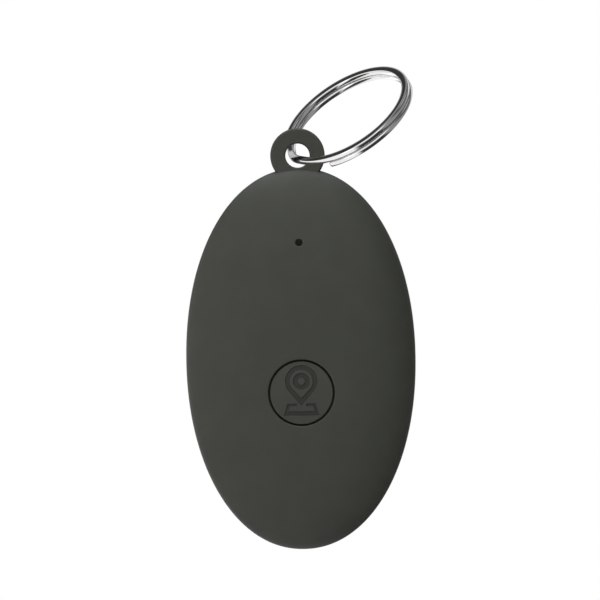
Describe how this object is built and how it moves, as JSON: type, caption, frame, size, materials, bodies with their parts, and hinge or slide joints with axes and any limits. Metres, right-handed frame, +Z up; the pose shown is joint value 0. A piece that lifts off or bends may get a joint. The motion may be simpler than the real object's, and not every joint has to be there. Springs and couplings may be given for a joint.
{
  "type": "bluetooth tracker tag",
  "caption": "Oval pebble-shaped tracker tag with a round push button, a sound port and an eyelet that hangs on a split key ring.",
  "frame": {"origin": "centre of the eyelet's hole, in the middle of the eyelet's plate", "axes": "+Z up, from the tag to its eyelet; +Y to the rear, so the front with the button faces -Y; +X to the right of a person who faces the front"},
  "size_m": [0.0324, 0.0182, 0.0677],
  "materials": {
    "charcoal_plastic": "fine matte, soft sheen",
    "polished_steel": "polished nickel plate",
    "board_laminate": "solder mask",
    "black_plastic": "moulded",
    "white_plastic": "moulded",
    "white_ceramic": "fired ceramic",
    "tan_ceramic": "fired ceramic",
    "zinc_steel": "satin plate",
    "tinned_metal": "tinned",
    "spring_bronze": "bright spring strip",
    "copper": "enamelled wire",
    "magnet": "sintered ferrite",
    "cell_steel": "nickel-plated, finely brushed",
    "cell_seal": "moulded",
    "cell_core": "pressed powder"
  },
  "bodies": {
    "ring": {"key_ring": "polished_steel"},
    "tag": {"front_cover": "charcoal_plastic", "circuit_board": "board_laminate", "board_screws": "zinc_steel", "switch_base": "black_plastic", "switch_dome": "spring_bronze", "switch_cover": "zinc_steel", "switch_terminals": "tinned_metal", "buzzer_base": "black_plastic", "buzzer_magnet": "magnet", "buzzer_coil": "copper", "buzzer_diaphragm": "zinc_steel", "buzzer_case": "black_plastic", "bluetooth_chip": "black_plastic", "main_crystal": "zinc_steel", "clock_crystal": "zinc_steel", "chip_antenna": "white_ceramic", "capacitors": "tan_ceramic", "resistors": "black_plastic", "battery_holder": "black_plastic", "positive_contact": "spring_bronze", "negative_contact": "spring_bronze"},
    "button": {"button_cap": "charcoal_plastic"},
    "plunger": {"switch_plunger": "white_plastic"},
    "rear_cover": {"rear_cover": "charcoal_plastic"},
    "battery": {"battery_can": "cell_steel", "battery_cap": "cell_steel", "battery_seal": "cell_seal", "battery_core": "cell_core"}
  },
  "joints": [
    {"name": "tag_swing", "type": "hinge", "parent": "ring", "child": "tag", "pos_m": [0, 0, 0], "axis": [0, 1, 0], "range_deg": [-55, 115]},
    {"name": "button_press", "type": "slide", "parent": "tag", "child": "button", "axis": [0, 1, 0], "range_m": [0, 0.0003], "stiffness_N_per_m": 2000, "springref_m": -0.00025},
    {"name": "plunger_press", "type": "slide", "parent": "tag", "child": "plunger", "axis": [0, 1, 0], "range_m": [0, 0.0003], "deforming": ["switch_dome"]},
    {"name": "rear_cover_release", "type": "slide", "parent": "tag", "child": "rear_cover", "axis": [0, 1, 0], "range_m": [0, 0.022]},
    {"name": "battery_release", "type": "slide", "parent": "tag", "child": "battery", "axis": [0, 1, 0], "range_m": [0, 0.0121]}
  ],
  "couplings": [
    {"joint": "plunger_press", "follows": "button_press", "ratio": 1},
    {"joint": "battery_release", "follows": "rear_cover_release", "ratio": 0.55}
  ]
}
